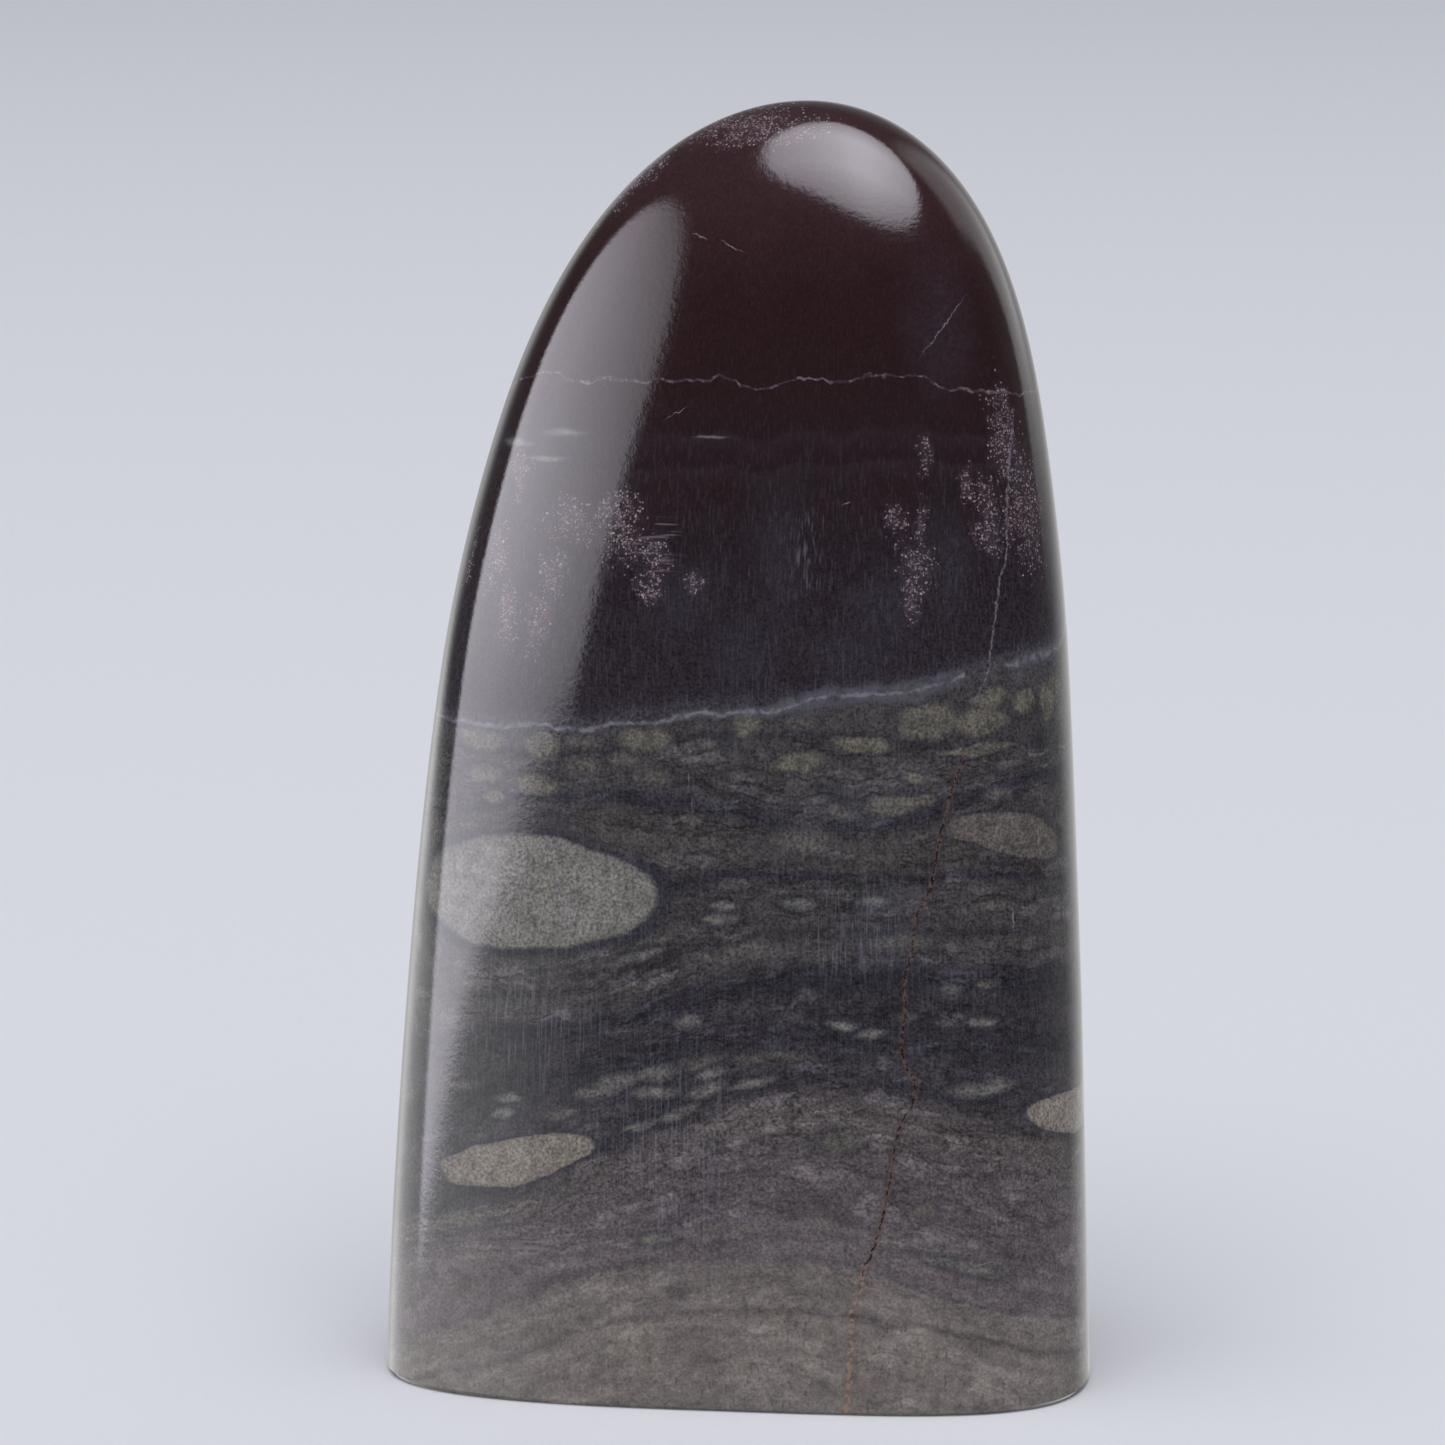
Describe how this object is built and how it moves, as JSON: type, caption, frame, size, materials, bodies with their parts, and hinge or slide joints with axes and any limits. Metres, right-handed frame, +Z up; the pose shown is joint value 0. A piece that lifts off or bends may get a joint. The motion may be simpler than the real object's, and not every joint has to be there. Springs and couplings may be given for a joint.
{
  "type": "liver jade freeform stone",
  "caption": "Tall, polished freeform of liver jade with a rounded top, a slightly wedge-shaped plan and a sawn flat base that it stands on; a decorative mineral piece.",
  "frame": {"origin": "on the sawn base, below the middle of the stone's width and depth", "axes": "+Z up along the height, +X along the width toward the thicker, steeper end, -Y out of the front face that the picture shows"},
  "size_m": [0.0554, 0.0334, 0.1],
  "materials": {
    "polished_liver_jade": "polished, dark maroon above and banded grey-green below"
  },
  "bodies": {
    "root": {"liver_jade_stone": "polished_liver_jade"}
  },
  "joints": []
}
